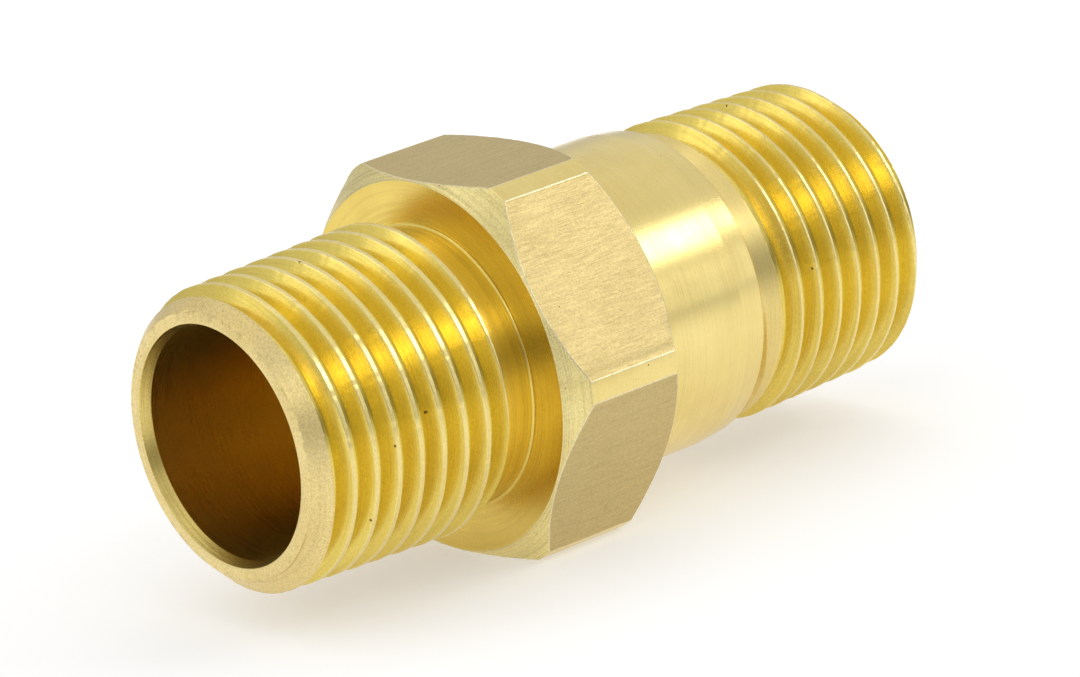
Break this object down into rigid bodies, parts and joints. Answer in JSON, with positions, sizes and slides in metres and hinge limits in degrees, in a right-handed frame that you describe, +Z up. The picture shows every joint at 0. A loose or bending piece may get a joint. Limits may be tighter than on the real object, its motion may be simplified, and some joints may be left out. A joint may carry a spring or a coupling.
{
  "type": "hex nipple",
  "caption": "Brass hex nipple for half inch pipe: male taper threads on both ends of a bored body, a wrench hexagon near one end and a plain collar behind it.",
  "frame": {"origin": "on the surface the nipple lies on, under the middle of its overall length and under its axis", "axes": "+X along the bore from the short threaded spigot to the long side's spigot, +Z up, square to the hexagon flat that the nipple lies on"},
  "size_m": [0.0534, 0.0286, 0.0254],
  "materials": {
    "thread_brass": "cut thread, bright crests and deep golden flanks",
    "turned_brass": "fine turned, satin",
    "drawn_brass": "cold drawn bar, dull, with fine lines along the axis"
  },
  "bodies": {
    "root": {"near_threaded_spigot": "thread_brass", "near_relief_neck": "turned_brass", "wrench_hexagon": "drawn_brass", "plain_collar": "turned_brass", "tapered_shoulder": "turned_brass", "far_threaded_spigot": "thread_brass"}
  },
  "joints": []
}
